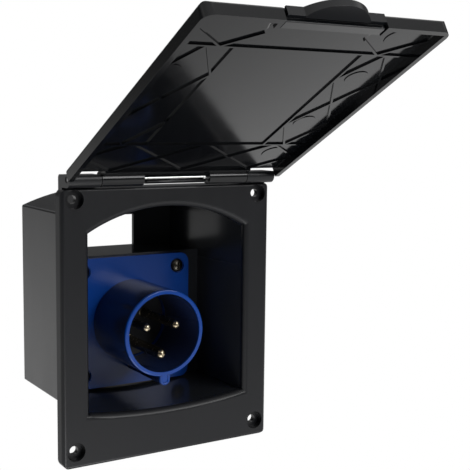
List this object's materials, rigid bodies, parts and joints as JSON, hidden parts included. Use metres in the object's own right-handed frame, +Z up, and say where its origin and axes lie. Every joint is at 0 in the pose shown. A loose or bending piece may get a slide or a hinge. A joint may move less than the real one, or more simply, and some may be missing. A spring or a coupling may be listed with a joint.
{
  "type": "caravan power inlet",
  "caption": "Flush wall housing with a hinged, ribbed lid over a round shrouded mains inlet whose contact pins face out of the recess.",
  "frame": {"origin": "on the wall face behind the flange, in the middle of the four fixing holes", "axes": "+X across the flange to the right as seen from the front, +Y into the wall, +Z up"},
  "size_m": [0.125, 0.2602, 0.2289],
  "materials": {
    "housing_black": "satin moulded",
    "lid_black": "gloss inside, satin outside",
    "catch_black": "gloss",
    "inlet_blue": "semi-gloss moulded",
    "carrier_black": "matt moulded",
    "contact_brass": "bright turned",
    "bright_steel": "polished",
    "zinc_steel": "zinc plated",
    "black_rubber": "matt",
    "gland_black": "satin moulded"
  },
  "bodies": {
    "base": {"housing": "housing_black", "hinge_pin": "bright_steel", "inlet_shell": "inlet_blue", "inlet_gasket": "black_rubber", "inlet_screws": "zinc_steel", "inlet_nuts": "zinc_steel", "contact_carrier": "carrier_black", "carrier_screws": "zinc_steel", "line_pin": "contact_brass", "neutral_pin": "contact_brass", "earth_pin": "contact_brass", "terminal_screws": "zinc_steel", "rear_cover": "housing_black", "cover_screws": "zinc_steel", "gland_body": "gland_black", "gland_lock_nut": "gland_black", "gland_seal": "black_rubber", "gland_cap": "gland_black"},
    "cover": {"lid": "lid_black"},
    "catch": {"lid_catch": "catch_black"}
  },
  "joints": [
    {"name": "lid_hinge", "type": "hinge", "parent": "base", "child": "cover", "pos_m": [0, -0.0107, 0.0759], "axis": [-1, 0, 0], "range_deg": [-118, 50]},
    {"name": "catch_pivot", "type": "hinge", "parent": "cover", "child": "catch", "pos_m": [0, -0.14336, 0.14485], "axis": [-1, 0, 0], "range_deg": [0, 8]}
  ]
}
